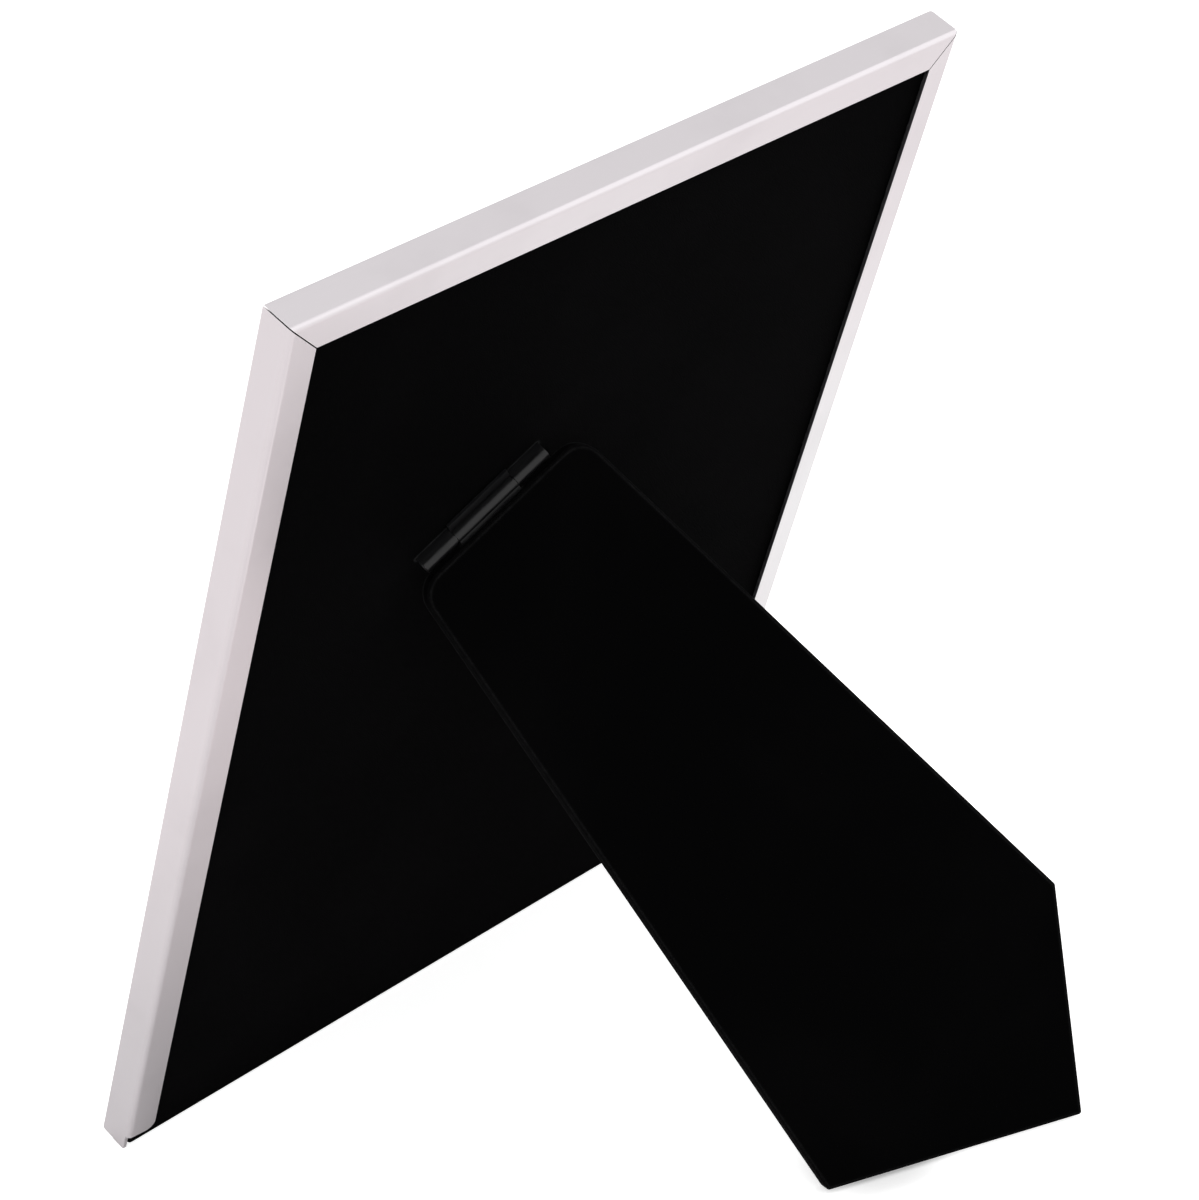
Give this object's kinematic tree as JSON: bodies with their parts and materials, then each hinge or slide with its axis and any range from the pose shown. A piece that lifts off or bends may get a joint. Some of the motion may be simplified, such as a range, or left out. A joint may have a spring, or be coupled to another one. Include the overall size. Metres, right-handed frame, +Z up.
{
  "type": "picture frame",
  "caption": "Slim metal picture frame with mitred channel rails and a black velvet easel back, whose hinged strut stands it upright or sideways.",
  "frame": {"origin": "under the middle of the standing frame's box, on the table", "axes": "+Z up; the picture faces -Y and the strut stands towards +Y; +X to the right seen from the front"},
  "size_m": [0.154, 0.1274, 0.1962],
  "materials": {
    "rail_silver": "satin silver plate",
    "key_steel": "plain zinc-plated",
    "glass": "clear, polished",
    "white_paper": "plain matt sheet",
    "fibre_board": "thin hard fibre board, uncoated",
    "black_paper": "matt black lining paper",
    "black_velvet": "short-pile velvet",
    "hinge_black": "black lacquer",
    "pin_steel": "plain steel"
  },
  "bodies": {
    "frame": {"top_rail": "rail_silver", "left_rail": "rail_silver", "right_rail": "rail_silver", "bottom_rail": "rail_silver", "corner_key_top_left": "key_steel", "corner_key_top_right": "key_steel", "corner_key_bottom_left": "key_steel", "corner_key_bottom_right": "key_steel", "glass_pane": "glass", "paper_insert": "white_paper"},
    "easel_back": {"back_board": "fibre_board", "back_lining": "black_paper", "back_velvet": "black_velvet", "hinge_back_leaf": "hinge_black", "hinge_pin": "pin_steel", "back_leaf_rivet_1": "pin_steel", "back_leaf_rivet_2": "pin_steel"},
    "strut": {"strut_board": "fibre_board", "strut_lining": "black_paper", "strut_velvet": "black_velvet", "hinge_strut_leaf": "hinge_black", "strut_leaf_rivet_1": "pin_steel", "strut_leaf_rivet_2": "pin_steel"}
  },
  "joints": [
    {"name": "back_slide", "type": "slide", "parent": "frame", "child": "easel_back", "axis": [0, -0.3025, -0.9532], "range_m": [0, 0.203]},
    {"name": "strut_fold", "type": "hinge", "parent": "easel_back", "child": "strut", "pos_m": [0.021, -0.01432, 0.13172], "axis": [-0.8533, 0.1577, 0.497], "range_deg": [0, 41.4]}
  ]
}
